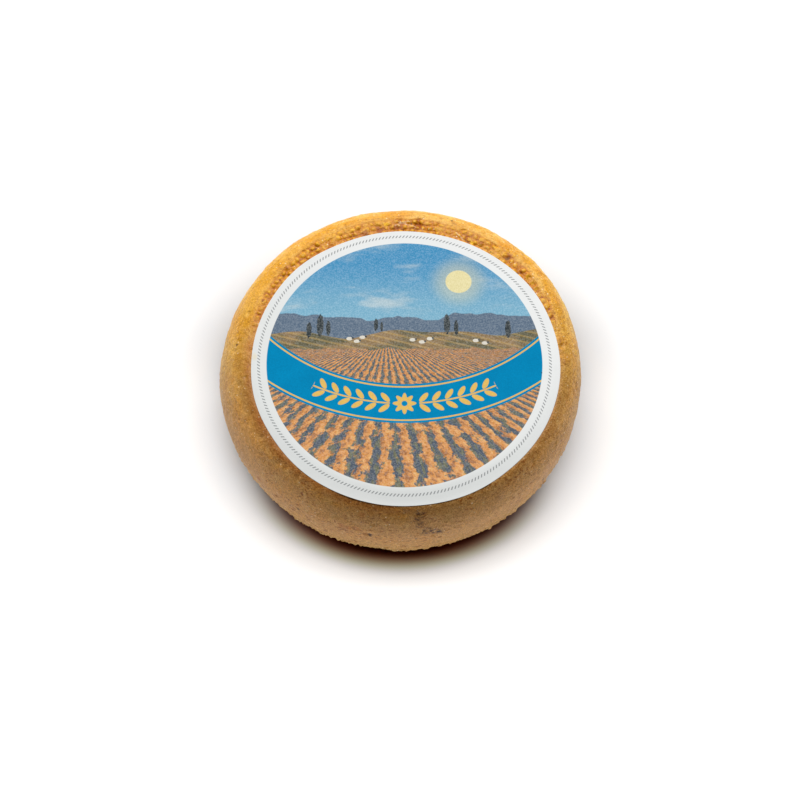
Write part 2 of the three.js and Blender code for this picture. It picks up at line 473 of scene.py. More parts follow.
class Term:
    """A number that the shader works out at each point, for use in plain formulas."""

    def __init__(self, look, socket):
        self.look = look
        self.socket = socket

    def __add__(self, other):
        return self.look.math("ADD", self, other)

    def __mul__(self, other):
        return self.look.math("MULTIPLY", self, other)

    def __sub__(self, other):
        return self.look.math("SUBTRACT", self, other)

    def __rsub__(self, other):
        return self.look.math("SUBTRACT", other, self)

    def __truediv__(self, other):
        return self.look.math("DIVIDE", self, other)

    __radd__ = __add__
    __rmul__ = __mul__


class Look:
    """Builds one material from nodes. An input is a Term, a number or a colour."""

    def __init__(self, name):
        self.material = bpy.data.materials.new(name)
        self.material.use_nodes = True
        self.tree = self.material.node_tree
        self.tree.nodes.clear()
        self.attributes = {}
        self.output = self.add("ShaderNodeOutputMaterial")
        self.place = self.object_place()
        self.x, self.y, self.z = self.parts(self.place)

    def add(self, kind, **settings):
        node = self.tree.nodes.new(kind)
        for setting, value in settings.items():
            setattr(node, setting, value)
        return node

    def feed(self, socket, value):
        if isinstance(value, Term):
            self.tree.links.new(value.socket, socket)
        else:
            socket.default_value = value

    def math(self, operation, *values):
        node = self.add("ShaderNodeMath", operation=operation)
        for socket, value in zip(node.inputs, values):
            self.feed(socket, value)
        return Term(self, node.outputs[0])

    def step(self, value, low, high):
        """0 up to low and 1 from high on, or the other way round where low is larger."""
        node = self.add("ShaderNodeMapRange", interpolation_type="SMOOTHSTEP")
        ends = (low, high, 0.0, 1.0) if low <= high else (high, low, 1.0, 0.0)
        self.feed(node.inputs["Value"], value)
        for name, end in zip(("From Min", "From Max", "To Min", "To Max"), ends):
            node.inputs[name].default_value = end
        return Term(self, node.outputs["Result"])

    def least(self, terms):
        return functools.reduce(lambda one, other: self.math("MINIMUM", one, other), terms)

    def most(self, terms):
        return functools.reduce(lambda one, other: self.math("MAXIMUM", one, other), terms)

    def blend(self, share, first, second, mode="MIX"):
        """The first colour, with the second laid over it to this share."""
        node = self.add("ShaderNodeMix", data_type="RGBA", blend_type=mode)
        self.feed(node.inputs[0], share)
        self.feed(node.inputs[6], first)
        self.feed(node.inputs[7], second)
        return Term(self, node.outputs[2])

    def object_place(self):
        """Where a point lies on the object, in millimetres."""
        coordinates = Term(self, self.add("ShaderNodeTexCoord").outputs["Object"])
        return self.spread(coordinates, (1 / MM,) * 3)

    def parts(self, vector):
        node = self.add("ShaderNodeSeparateXYZ")
        self.feed(node.inputs[0], vector)
        return [Term(self, output) for output in node.outputs]

    def join(self, x, y, z=0.0):
        node = self.add("ShaderNodeCombineXYZ")
        for socket, value in zip(node.inputs, (x, y, z)):
            self.feed(socket, value)
        return Term(self, node.outputs[0])

    def spread(self, place, scale, shift=(0, 0, 0)):
        """A place that is scaled along each axis and then shifted."""
        node = self.add("ShaderNodeVectorMath", operation="MULTIPLY_ADD")
        self.feed(node.inputs[0], place)
        node.inputs[1].default_value = scale
        node.inputs[2].default_value = shift
        return Term(self, node.outputs[0])

    def near(self, point, stretch):
        """Distance from a point, in millimetres, with each axis weighed by stretch."""
        shift = tuple(-each * weight for each, weight in zip(point, stretch))
        node = self.add("ShaderNodeVectorMath", operation="LENGTH")
        self.feed(node.inputs[0], self.spread(self.place, stretch, shift))
        return Term(self, node.outputs["Value"])

    def noise(self, size, detail, roughness, seed, stretch=(1, 1, 1), place=None):
        """Smooth noise round 0.5 whose lumps are size wide, and narrower along a stretched axis."""
        scale = tuple(each / size for each in stretch)
        moved = self.spread(place or self.place, scale, (seed * 7.3, seed * 3.1, seed * 5.7))
        node = self.add("ShaderNodeTexNoise")
        self.feed(node.inputs["Vector"], moved)
        node.inputs["Scale"].default_value = 1.0
        node.inputs["Detail"].default_value = detail
        node.inputs["Roughness"].default_value = roughness
        return Term(self, node.outputs["Fac"])

    def cells(self, size, seed):
        """Distance from the nearest of scattered points, in cell sizes, and each cell's own
        three random numbers."""
        moved = self.spread(self.place, (1 / size,) * 3, (seed * 3.7, seed * 9.1, seed * 2.3))
        node = self.add("ShaderNodeTexVoronoi")
        self.feed(node.inputs["Vector"], moved)
        node.inputs["Scale"].default_value = 1.0
        chance = self.parts(Term(self, node.outputs["Color"]))
        return Term(self, node.outputs["Distance"]), chance

    def attribute(self, name):
        """A number that the mesh keeps for each vertex."""
        if name not in self.attributes:
            node = self.add("ShaderNodeAttribute", attribute_name=name)
            self.attributes[name] = Term(self, node.outputs["Fac"])
        return self.attributes[name]

    def bump(self, height, distance, strength):
        """The surface's direction as if it had this height, of which 1 is distance high."""
        node = self.add("ShaderNodeBump")
        node.inputs["Strength"].default_value = strength
        node.inputs["Distance"].default_value = distance * MM
        self.feed(node.inputs["Height"], height)
        return Term(self, node.outputs["Normal"])

    def finish(self, **inputs):
        """Ends in one surface shader with these inputs."""
        skin = self.add("ShaderNodeBsdfPrincipled")
        for name, value in inputs.items():
            self.feed(skin.inputs[name.replace("_", " ")], value)
        self.tree.links.new(skin.outputs["BSDF"], self.output.inputs["Surface"])
        return self.material


def srgb(red, green, blue):
    """A colour given in the 0 to 255 numbers of a screen, as the shader wants it."""
    def linear(value):
        value = value / 255
        return value / 12.92 if value <= 0.04045 else ((value + 0.055) / 1.055) ** 2.4
    return (linear(red), linear(green), linear(blue), 1.0)


FROM_AXIS = (1, 1, 0)  # weighs the axes so that a distance is one from an upright axis

# ---- The rind's colours ----
GOLD = srgb(236, 184, 42)
ORANGE = srgb(222, 146, 30)
TAN = srgb(226, 178, 108)
OCHRE = srgb(206, 147, 77)
BROWN = srgb(150, 92, 36)
AMBER = srgb(226, 146, 10)
HONEY = srgb(232, 162, 10)
RUST = srgb(186, 96, 14)
FRECKLE = srgb(164, 92, 14)
STRAW = srgb(244, 190, 60)
WAX_AND_SHEEN = srgb(250, 202, 104)
RUSSET = srgb(146, 58, 8)
YELLOW = srgb(250, 190, 20)
SOOT = srgb(44, 22, 8)
CHALK = srgb(255, 232, 190)
PLUM = srgb(60, 27, 12)

# ---- Marks on the rind: places of their middles, then size ----
PLUM_STAIN = (
    ((8.6, -83.6, 47.6), 3.4), ((10.5, -84.2, 46.7), 3.4), ((7.9, -85.5, 45.0), 4.0),
    ((9.4, -86.9, 42.1), 4.6), ((12.5, -87.8, 38.3), 5.2), ((15.6, -88.0, 35.6), 5.4),
    ((18.7, -87.5, 35.2), 4.2), ((11.6, -88.6, 35.2), 4.0),
)
DARK_SPOTS = (
    ((10.3, -84.1, 46.9), 1.9), ((8.0, -83.4, 47.9), 1.2), ((7.2, -85.9, 44.2), 1.3),
    ((18.6, -87.5, 35.2), 2.6), ((13.2, -88.0, 36.8), 1.6), ((15.6, -88.2, 34.6), 1.5),
    ((-14.2, -88.5, 31.6), 2.0), ((-8.6, -89.2, 31.2), 1.3), ((2.0, -83.7, 47.7), 1.5),
    ((5.4, -89.4, 33.5), 1.3), ((7.8, -89.6, 30.2), 1.3), ((79.6, 3.2, 51.7), 1.2),
    ((82.2, -31.2, 43.7), 1.2), ((-80.1, 5.2, 49.0), 1.4), ((66.4, 38.2, 52.0), 1.2),
    ((26.5, 75.8, 50.9), 1.0), ((-49.0, -74.9, 31.2), 1.3), ((70.0, -56.6, 25.8), 1.8),
)
RUSSET_BLOTS = (
    ((9.8, 72.8, 51.9), 3.4), ((-17.6, 67.4, 51.9), 4.0), ((-10.0, 69.8, 51.9), 4.0),
    ((-1.9, 71.6, 51.9), 3.6), ((41.2, 62.0, 52.0), 2.0), ((-36.2, -82.2, 21.3), 2.6),
    ((77.6, -43.0, 41.5), 1.6),
)
ORANGE_STREAKS = (
    ((-28.0, -84.4, 35.2), 3.2), ((-24.2, -85.8, 34.7), 3.0), ((-20.4, -86.6, 35.5), 3.0),
    ((-17.9, -83.4, 44.9), 3.4), ((-69.1, -57.5, 27.7), 4.0), ((-66.2, -37.1, 51.5), 5.0),
)
YELLOW_KNOBS = (
    ((-31.2, 65.7, 51.9), 1.8), ((-7.0, 73.3, 52.0), 2.2), ((36.4, 62.1, 52.0), 1.8),
    ((-23.6, 70.0, 51.9), 1.6),
)
RED_PITS = (
    ((-62.6, 35.9, 52.0), 1.5), ((-56.5, 47.5, 51.9), 1.6), ((-59.8, 40.5, 52.0), 1.4),
    ((-67.9, 29.1, 51.9), 1.4), ((64.5, 41.7, 51.9), 1.5), ((68.3, 34.7, 52.0), 1.4),
    ((70.7, 30.7, 52.0), 1.3), ((73.9, 23.9, 51.9), 1.3), ((60.7, 45.1, 51.9), 1.5),
)
THREADS = (  # the ends of pale hairlines on the top, across and back
    ((-1.4, 75.1), (8.7, 71.6)), ((27.9, 68.6), (32.9, 63.8)), ((-3.0, 72.5), (5.0, 75.3)),
)


def ring_place(look):
    """Where a point lies as unrolled from the side: along the turn, outwards and up."""
    turn = look.math("ARCTAN2", look.y, look.x) * WHEEL_RADIUS
    return look.join(turn, look.near((0, 0, 0), FROM_AXIS), look.z)


def base_colour(look, back, mottle):
    """Golden and orange at the back, ochre in front and tan low down, with amber patches."""
    patches = look.noise(15.0, 2.0, 0.5, 1)
    low = look.step(look.z, 0.7 * WHEEL_HEIGHT, 0.1 * WHEEL_HEIGHT)
    shoulder = look.step(look.z, 0.82 * WHEEL_HEIGHT, 0.98 * WHEEL_HEIGHT)
    colour = look.blend(back, OCHRE, GOLD)
    colour = look.blend(low * 0.9, colour, TAN)
    colour = look.blend(shoulder * back * 0.75, colour, ORANGE)
    amber = look.step(patches, 0.46, 0.62) * (0.6 - low * 0.45) * (back * 0.7 + 0.3)
    colour = look.blend(amber, colour, AMBER)
    return look.blend(look.step(mottle, 0.48, 0.7) * 0.3, colour, TAN)


def shade_beside_label(look):
    """1 close beside the label, from its front round the left to its back, where a rusty painted
    shade darkens the rind.
    """
    beside = look.step(look.near((*LABEL_CENTRE, 0), FROM_AXIS), 80.5, 76.0)
    on_top = look.step(look.z, WHEEL_HEIGHT - 8, WHEEL_HEIGHT - 5)
    return beside * look.step(look.x, 14.0, -12.0) * on_top


def freckles(look, around):
    """Groups of small brown freckles, and short streaks that run round the side."""
    blobs = look.step(look.noise(2.0, 2.0, 0.6, 7), 0.54, 0.64)
    blobs = blobs * look.step(look.noise(10.0, 2.0, 0.5, 8), 0.4, 0.6)
    dots = look.step(look.noise(1.1, 1.0, 0.5, 18, (0.45, 1, 1), around), 0.59, 0.65)
    dots = dots * look.step(look.noise(12.0, 2.0, 0.5, 19), 0.38, 0.56)
    front = look.step(look.y, -40.0, -70.0)
    return look.math("MAXIMUM", blobs * 0.4, dots * (0.42 + front * 0.48))


def weathered_colour(look, colour, around, back):
    """Honey at the back left, brushed pale waxy streaks on the side that are partly a painted
    sheen, a rusty painted shade beside the label, freckles and brown hollows.
    """
    honeyed = look.step(look.x, 10.0, -40.0) * look.step(look.y, 0.0, 30.0)
    colour = look.blend(honeyed * 0.5, colour, HONEY)
    # pale waxy streaks on the back of the side, partly a painted sheen where the light falls on it
    wax_and_sheen = look.step(look.noise(8.0, 3.0, 0.55, 33, (0.45, 1, 1), around), 0.44, 0.6)
    brushed = look.step(look.z, 25.0, 36.0) * look.step(look.attribute("imprint"), 0.5, 0.0)
    colour = look.blend(wax_and_sheen * brushed * back * (0.55 - honeyed * 0.2), colour, WAX_AND_SHEEN)
    # rusty painted shade close beside the label
    colour = look.blend(shade_beside_label(look) * 0.4, colour, RUST)
    colour = look.blend(freckles(look, around), colour, FRECKLE)
    hollow = look.step(look.attribute("hollow"), 0.3, 0.9)
    return look.blend(hollow * 0.2, colour, BROWN)


def imprint_colour(look, colour, mottle):
    """Pale tops, partly a painted highlight, and stained grooves between the squares of the mould's
    imprint.
    """
    groove = look.attribute("groove")
    # the squares' pale tops, partly a painted highlight
    tops = look.attribute("imprint") * look.step(groove, 0.22, 0.02)
    colour = look.blend(tops * 0.5, colour, STRAW)
    colour = look.blend(look.step(groove, 0.1, 0.5) * 0.5, colour, RUST)
    stained = look.step(look.noise(7.0, 2.0, 0.5, 6), 0.5, 0.64)
    colour = look.blend(look.step(groove, 0.2, 0.6) * stained * 0.55, colour, RUSSET)
    deepest = look.step(groove, 0.5, 0.8) * look.step(mottle, 0.51, 0.59)
    return look.blend(deepest * 0.75, colour, SOOT)


def marked_colour(look, colour):
    """The single knobs, blots, stains and spots, in places of their own."""
    ragged = look.noise(1.2, 3.0, 0.65, 15, (0.7, 0.9, 1.2)) * 1.3 + 0.05

    def marks(places):
        """1 in the middle of each mark, fading to 0 at its ragged edge."""
        nearest = look.least(look.near(point, (1 / size,) * 3) for point, size in places)
        return look.step(nearest + ragged, 1.45, 0.95)

    colour = look.blend(marks(YELLOW_KNOBS) * 0.8, colour, YELLOW)
    colour = look.blend(marks(RUSSET_BLOTS) * 0.65, colour, RUSSET)
    colour = look.blend(marks(RED_PITS) * 0.7, colour, RUSSET)
    colour = look.blend(marks(ORANGE_STREAKS) * 0.5, colour, RUST)
    flecked = look.step(look.noise(1.3, 3.0, 0.65, 16, (0.55, 1.0, 1.4)), 0.49, 0.56)
    colour = look.blend(marks(PLUM_STAIN) * (flecked * 0.78 + 0.13), colour, PLUM)
    colour = look.blend(marks(DARK_SPOTS) * 0.85, colour, SOOT)
    return look.blend(threads(look) * 0.35, colour, CHALK)


def thread(look, wander, start, end):
    """1 on a pale hairline from start to end, each a place across and back."""
    length = math.dist(start, end)
    along_x = (end[0] - start[0]) / length
    along_y = (end[1] - start[1]) / length
    across = look.x - start[0]
    back = look.y - start[1]
    beside = across * along_y - back * along_x + wander
    along = across * along_x + back * along_y
    line = look.step(look.math("ABSOLUTE", beside), 0.42, 0.2)
    from_middle = look.math("ABSOLUTE", along - length / 2)
    return line * look.step(from_middle, length / 2, length / 2 - 1)


def threads(look):
    """1 on each of the pale hairlines."""
    wander = (look.noise(3.0, 2.0, 0.5, 20) - 0.5) * 1.6
    hairlines = look.most(thread(look, wander, start, end) for start, end in THREADS)
    return hairlines * look.step(look.z, WHEEL_HEIGHT - 6, WHEEL_HEIGHT - 5)


def specked_colour(look, colour):
    """Scattered black specks, most on the imprint, and two sizes of pale dust."""
    speck, chance = look.cells(4.6, 4)
    black = look.step(speck, 0.12, 0.07) * look.step(chance[0], 0.7, 0.72)
    colour = look.blend(black * (look.attribute("imprint") * 0.6 + 0.35), colour, SOOT)
    dust, chance = look.cells(2.2, 9)
    pale = look.step(dust, 0.2, 0.13) * look.step(chance[1], 0.74, 0.76)
    colour = look.blend(pale * 0.6, colour, CHALK)
    dust, chance = look.cells(1.4, 12)
    fine = look.step(dust, 0.26, 0.16) * look.step(chance[2], 0.84, 0.86)
    return look.blend(fine * 0.4, colour, CHALK)


def grained_colour(look, colour, around, back, grain, sand):
    """Fine grain all over, brushed strokes along the side and sand on the front right."""
    tint = look.join(grain * 0.8 + 0.6, grain * 1.15 + 0.425, grain * 1.8 + 0.1)
    colour = look.blend(1.0, colour, tint, "MULTIPLY")
    strokes = look.noise(1.2, 2.0, 0.6, 34, (0.25, 1, 1), around) - 0.5
    sandy = look.step(look.y - look.x * 0.6, 40.0, -40.0) * 0.5 + 0.2
    shade = (look.step(sand, 0.25, 0.75) - 0.5) * sandy + strokes * (back * 0.15 + 0.15)
    shade = look.join(shade * 0.72 + 1, shade + 1, shade * 1.6 + 1)
    return look.blend(1.0, colour, shade, "MULTIPLY")


def painted_shade_and_light(look):
    """Painted shade that darkens the bare top beside the label's nearer half, and painted light
    that makes the side below it paler.
    """
    high = look.step(look.z, WHEEL_HEIGHT - 5, WHEEL_HEIGHT - 1)
    middle = look.step(look.z, 26.0, 38.0) * (1 - high) * look.step(look.y, -5.0, -40.0)
    left = look.step(look.x, 20.0, -40.0)
    # painted light: the side below the label's nearer half is made paler
    pale = middle * look.step(look.y, -86.0, -60.0) * (left * 0.06 + 0.12)
    # painted shade: the bare top beside the label's nearer half is darkened
    level = 1 + pale - high * look.step(look.y, 42.0, -26.0) * 0.3
    return look.join(level, level + middle * 0.04, level)


def rind_look():
    """The rind's material: its colours from the ground up, then its grain and its painted shade and
    light.
    """
    look = Look("rind")
    mottle = look.noise(4.0, 3.0, 0.6, 2)
    grain = look.noise(1.2, 3.0, 0.65, 3)
    sand = look.noise(0.6, 1.0, 0.5, 17)
    around = ring_place(look)
    back = look.step(look.y, -45.0, 60.0)
    imprint = look.attribute("imprint")
    colour = base_colour(look, back, mottle)
    colour = weathered_colour(look, colour, around, back)
    colour = imprint_colour(look, colour, mottle)
    colour = marked_colour(look, colour)
    colour = specked_colour(look, colour)
    colour = grained_colour(look, colour, around, back, grain, sand)
    # multiplies in the painted shade beside the label and the painted light on the side below it
    colour = look.blend(1.0, colour, painted_shade_and_light(look), "MULTIPLY")
    return look.finish(
        Base_Color=colour,
        Roughness=mottle * 0.35 + 0.3 - imprint * 0.12,
        Specular_IOR_Level=0.28 - imprint * 0.09,
        Subsurface_Weight=0.05,
        Subsurface_Radius=(1.0, 0.45, 0.15),
        Subsurface_Scale=0.0012,
        Normal=look.bump(grain + sand * 0.7, 0.5, 0.55),
    )


# ---- The label's print: a generic country scene of fields of colour and simple shapes ----
PAPER = srgb(229, 231, 229)
PAPER_PAINTED_LIGHT = srgb(243, 244, 243)
PAPER_SHADE = srgb(206, 210, 210)
OIL_STAIN = srgb(236, 214, 150)
SKY_HIGH = srgb(64, 148, 196)
SKY_LOW = srgb(126, 182, 208)
CLOUD = srgb(196, 212, 216)
SUN = srgb(238, 226, 168)
FAR_HILL = srgb(92, 112, 134)
NEAR_HILL = srgb(150, 122, 84)
HILL_SHADE = srgb(96, 92, 66)
CYPRESS = srgb(44, 54, 58)
FLEECE = srgb(226, 220, 206)
SOIL = srgb(78, 88, 102)
GRASS = srgb(122, 120, 82)
LEAF = srgb(222, 152, 82)
LEAF_SHADE = srgb(170, 112, 66)
LEAF_LIGHT = srgb(238, 186, 116)
RIBBON = srgb(0, 128, 178)
RIBBON_LIGHT = srgb(0, 144, 196)
GILT = srgb(232, 190, 102)
INK = srgb(110, 114, 116)
CYPRESSES = (  # place across, foot, height
    (-47, 13, 9), (-41.5, 14, 12), (-37.5, 14.5, 8), (-14, 17, 7), (-11.2, 17, 5),
    (21, 15.5, 11), (25.5, 15, 8), (51, 13, 10),
)
SHEEP = (  # place across and up, of each one's middle
    (-27, 12.6), (-23.4, 11.2), (-20.6, 13.4), (4, 12), (8.6, 10.8), (12.4, 12.6), (35, 11.6),
    (39.4, 10.2),
)
SUN_PLACE = (27, 45)
SUN_RADIUS = 6.5
VINES_TOP = 7.0
VANISHING_HEIGHT = 15.0  # of the point that the rows run to
VANISHING_SIDE = -9.0
VINE_ROWS = 6.5
RIBBON_BEND = 105.0  # radius of the ribbon's middle line
RIBBON_MIDDLE = -23.0
RIBBON_WIDTH = 21.0
ROSETTE_RADIUS = 4.6
ROSETTE_PETALS = 8
PETAL_HEIGHT = 1.1
ROSETTE_EYE = 1.3
SPRAY_START = 7.0  # from the ribbon's middle, to both sides
SPRAY_END = 46.0
LEAF_PITCH = 6.4
LEAF_OFFSET = 2.9  # of a leaf's middle from the stem
LEAF_LEAN = (0.72, 0.69)  # cosine and sine of its angle to the stem
BORDER_RADIUS = 71.2
CORD_STRANDS = 260
CORD_HALF_WIDTH = 0.75
SOFT_EDGE = 0.15  # printed edges blend over this much to both sides


class Print:
    """The label's picture, in millimetres from its own middle: u across and v up."""

    def __init__(self, look):
        self.look = look
        self.u = look.x - PRINT_CENTRE[0]
        self.v = look.y - PRINT_CENTRE[1]
        self.out = look.near((*PRINT_CENTRE, 0), FROM_AXIS)

    def ellipse(self, across, up, half_width, half_height):
        """Distance from an ellipse's middle, which is 1 on its outline."""
        point = (PRINT_CENTRE[0] + across, PRINT_CENTRE[1] + up, 0)
        return self.look.near(point, (1 / half_width, 1 / half_height, 0))

    def sky(self):
        look = self.look
        colour = look.blend(look.step(self.v, 60, 22), SKY_HIGH, SKY_LOW)
        cloud = look.noise(22.0, 4.0, 0.55, 21, (0.6, 1.9, 0))
        colour = look.blend(look.step(cloud, 0.5, 0.72) * 0.75, colour, CLOUD)
        sun = self.ellipse(*SUN_PLACE, SUN_RADIUS, SUN_RADIUS)
        colour = look.blend(look.step(sun, 2.6, 1.0) * 0.35, colour, SUN)
        return look.blend(look.step(sun, 1.03, 0.97), colour, SUN)

    def hills(self, colour):
        look = self.look
        far = look.noise(26.0, 3.0, 0.5, 22, (1, 0, 0)) * 20 + 16
        colour = look.blend(look.step(self.v - far, 0.3, -0.3), colour, FAR_HILL)
        near = look.noise(38.0, 1.0, 0.4, 23, (1, 0, 0)) * 14 + 9
        slope = look.noise(13.0, 4.0, 0.6, 24, (0.5, 1.8, 0))
        ground = look.blend(look.step(slope, 0.4, 0.62), HILL_SHADE, NEAR_HILL)
        rows = look.math("SINE", (self.u * 0.35 + self.v * 1.3) * 1.5)
        ground = look.blend(look.step(rows, 0.2, 0.9) * 0.25, ground, GILT)
        return look.blend(look.step(self.v - near, 0.25, -0.25), colour, ground)

    def trees_and_sheep(self, colour):
        look = self.look
        fray = (look.noise(1.6, 2.0, 0.6, 25) - 0.5) * 0.7
        trees = look.least(self.ellipse(across, foot + height / 2, 0.14 * height, height / 2)
                           for across, foot, height in CYPRESSES)
        colour = look.blend(look.step(trees + fray, 1.08, 0.92), colour, CYPRESS)
        body = look.least(self.ellipse(across, up, 1.5, 0.95) for across, up in SHEEP)
        head = look.least(self.ellipse(across + 1.6, up + 0.35, 0.55, 0.5) for across, up in SHEEP)
        colour = look.blend(look.step(body, 1.08, 0.92), colour, FLEECE)
        return look.blend(look.step(head, 1.1, 0.9), colour, CYPRESS)

    def vines(self, colour):
        """Rows of vines in orange autumn leaf that run away to the hills."""
        look = self.look
        below = look.math("MAXIMUM", VANISHING_HEIGHT - self.v, 1.0)
        across = (self.u - VANISHING_SIDE) / below
        ground = look.join(across, look.math("LOGARITHM", below, math.e))
        row = across * (VINE_ROWS * FULL_TURN)
        clumps = look.noise(0.1, 4.0, 0.7, 30, place=ground) - 0.5
        leafy = look.math("COSINE", row) * 0.2 + clumps * 2.0
        tufts = look.noise(0.05, 3.0, 0.6, 31, (2.2, 0.8, 1), ground)
        soil = look.blend(look.step(tufts, 0.46, 0.6) * 0.75, SOIL, GRASS)
        tone = look.noise(0.035, 2.0, 0.6, 32, place=ground) + look.math("SINE", row) * 0.06
        leaves = look.blend(look.step(tone, 0.34, 0.52), LEAF_SHADE, LEAF)
        leaves = look.blend(look.step(tone, 0.54, 0.7) * 0.7, leaves, LEAF_LIGHT)
        soil = look.blend(look.step(leafy, -0.1, 0.06), soil, leaves)
        edge = (look.noise(7.0, 3.0, 0.6, 28, (1, 0, 0)) - 0.5) * 5 + VINES_TOP
        return look.blend(look.step(self.v - edge, 0.4, -0.4), colour, soil)

    def ribbon(self, colour):
        look = self.look
        up = self.v - (RIBBON_MIDDLE + RIBBON_BEND)
        around = look.math("ARCTAN2", self.u, 0 - up) * RIBBON_BEND
        across = RIBBON_BEND - look.math("SQRT", self.u * self.u + up * up)
        from_middle = look.math("ABSOLUTE", across)
        cloth = look.blend(look.noise(12.0, 2.0, 0.5, 29), RIBBON, RIBBON_LIGHT)
        half = RIBBON_WIDTH / 2
        inside = look.step(from_middle, half + SOFT_EDGE, half - SOFT_EDGE)
        colour = look.blend(inside, colour, cloth)
        line = look.math("ABSOLUTE", from_middle - (half - 1.5))
        gilt = look.step(line, 0.5, 0.3)
        gilt = look.math("MAXIMUM", gilt, self.spray(around, across, from_middle))
        return look.blend(gilt, colour, GILT)

    def spray(self, around, across, from_middle):
        """A rosette with a leafy stem to each side."""
        look = self.look
        length = look.math("ABSOLUTE", around)
        stem = look.step(from_middle, 0.5, 0.3)
        place = look.math("FRACT", length / LEAF_PITCH) * LEAF_PITCH - LEAF_PITCH / 2
        outwards = from_middle - LEAF_OFFSET
        along = place * LEAF_LEAN[0] + outwards * LEAF_LEAN[1]
        beside = outwards * LEAF_LEAN[0] - place * LEAF_LEAN[1]
        leaf = look.math("SQRT", along * along / 9.6 + beside * beside / 1.7)
        leaves = look.step(leaf, 1.06, 0.94)
        there = look.step(length, SPRAY_START, SPRAY_START + 0.3)
        there = there * look.step(length, SPRAY_END, SPRAY_END - 0.4)
        branch = look.math("MAXIMUM", stem, leaves) * there
        turn = look.math("ARCTAN2", across, around)
        wide = look.math("COSINE", turn * ROSETTE_PETALS) * PETAL_HEIGHT + ROSETTE_RADIUS
        reach = look.math("SQRT", around * around + across * across)
        rosette = look.step(reach - wide, SOFT_EDGE, -SOFT_EDGE)
        rosette = rosette * look.step(reach, ROSETTE_EYE, ROSETTE_EYE + 0.3)
        return look.math("MAXIMUM", branch, rosette)

    def border(self, colour):
        """A fine twisted cord, printed in grey round the white rim."""
        look = self.look
        turn = look.math("ARCTAN2", self.v, self.u)
        across = self.out - BORDER_RADIUS
        slant = look.math("SINE", turn * CORD_STRANDS + across * 2.6)
        width = look.step(look.math("ABSOLUTE", across), CORD_HALF_WIDTH, CORD_HALF_WIDTH - 0.15)
        strokes = look.step(slant, 0.1, 0.7) * width
        return look.blend(strokes * 0.75, colour, INK)


def label_look():
    look = Look("label_paper")
    art = Print(look)
    colour = art.sky()
    colour = art.hills(colour)
    colour = art.trees_and_sheep(colour)
    colour = art.vines(colour)
    grain = look.noise(0.7, 3.0, 0.7, 51)
    colour = look.blend(look.step(grain, 0.35, 0.75) * 0.2, colour, PAPER)
    colour = art.ribbon(colour)
    ink = look.step(grain, 0.3, 0.7) * 0.16 + 0.9
    colour = look.blend(1.0, colour, look.join(ink, ink, ink), "MULTIPLY")
    printed = look.step(art.out, PRINT_RADIUS + SOFT_EDGE, PRINT_RADIUS - SOFT_EDGE)
    # painted light: the bare paper is lighter towards the back right
    bare = look.blend(look.step(look.y + look.x * 0.6, -80, 90), PAPER, PAPER_PAINTED_LIGHT)
    rim = art.border(look.blend(look.noise(11.0, 2.0, 0.5, 52) * 0.2, bare, PAPER_SHADE))
    at_left_edge = look.near((-71.0, -3.0, 0), (0.5, 0.35, 0))
    rim = look.blend(look.step(at_left_edge, 1.0, 0.2) * 0.35, rim, OIL_STAIN)
    colour = look.blend(printed, rim, colour)
    speck, chance = look.cells(9.0, 53)
    dots = look.step(speck, 0.045, 0.03) * look.step(chance[0], 0.6, 0.62)
    colour = look.blend(dots * 0.7, colour, CYPRESS)
    return look.finish(
        Base_Color=colour,
        Roughness=0.75,
        Specular_IOR_Level=0.03,
        Normal=look.bump(look.noise(2.2, 3.0, 0.6, 54), 0.12, 0.35),
    )


def floor_look():
    """White paper with a painted shadow, darker and browner close under the cheese and
    faintly grey and cooler beside and behind it. The painted shadow is widest in front,
    and a smaller power makes it paler elsewhere."""
    look = Look("floor")
    out = look.near((0, 0, 0), FROM_AXIS)
    ahead = (0 - look.y) / out  # 1 straight in front of the wheel, 0 beside it and -1 behind it
    beside = look.step(ahead, 0.85, 0.45)
    # painted shadow, darkest close round the wheel's foot and widest in front
    painted_shadow = (look.step(out, 80.5, 99.0) * 0.94 + 0.03) * (look.step(out, 90.0, 110.0) * 0.16 + 0.84)
    left = look.step(look.x, -10.0, -50.0)
    sideways = look.step(look.math("ABSOLUTE", ahead), 0.45, 0.0)
    power = 1 - beside * look.step(ahead, -0.5, 0.0) * 0.81 - left * (0.16 - beside * 0.2)
    power = power + look.step(ahead, 0.6, 1.0) * 0.24 - sideways * (left * 0.03 + 0.06)
    grey = look.math("POWER", painted_shadow, power)
    # a faint painted shadow behind the wheel
    behind = look.step(out, 134.0, 104.0) * look.step(ahead, 0.05, -0.4)
    grey = grey * (1 - behind * 0.15)
    # a cooler painted tint in the painted shadow beside and behind the wheel
    painted_cool_tint = look.math("MAXIMUM", beside * look.step(out, 113.0, 90.0), behind * 0.6)
    # the painted shadow turns browner in front
    tint = look.step(ahead, 0.55, 1.0)
    green = 1 - (1 - look.step(out, 82.0, 93.0)) * tint * 0.97
    blue = 1 - (1 - look.step(out, 82.5, 96.0)) * tint
    red = grey * (1 - painted_cool_tint * 0.09)
    return look.finish(
        Base_Color=look.join(red, grey * green * (1 - painted_cool_tint * 0.05), grey * blue),
        Roughness=1.0,
        Specular_IOR_Level=0.0,
    )


# ======== The stage: floor, light and camera ========

FLOOR_SIDE = 12000.0
FLOOR_DROP = 0.02  # under the wheel's foot
FILL = 0.05  # brightness of the room's walls
KEY_ELEVATION = math.radians(50)
KEY_ANGLE = math.radians(40)  # how wide the light looks from the object
KEY_LIGHT = 0.95  # on a level surface
SHEET_HEIGHT = 6000.0  # of the large overhead light, which falls on the floor only
SHEET_SIDES = (12000.0, 4000.0)
SHEET_BACK = 560.0  # its middle lies this far behind the wheel's
SHEET_POWER = 655.0  # watts


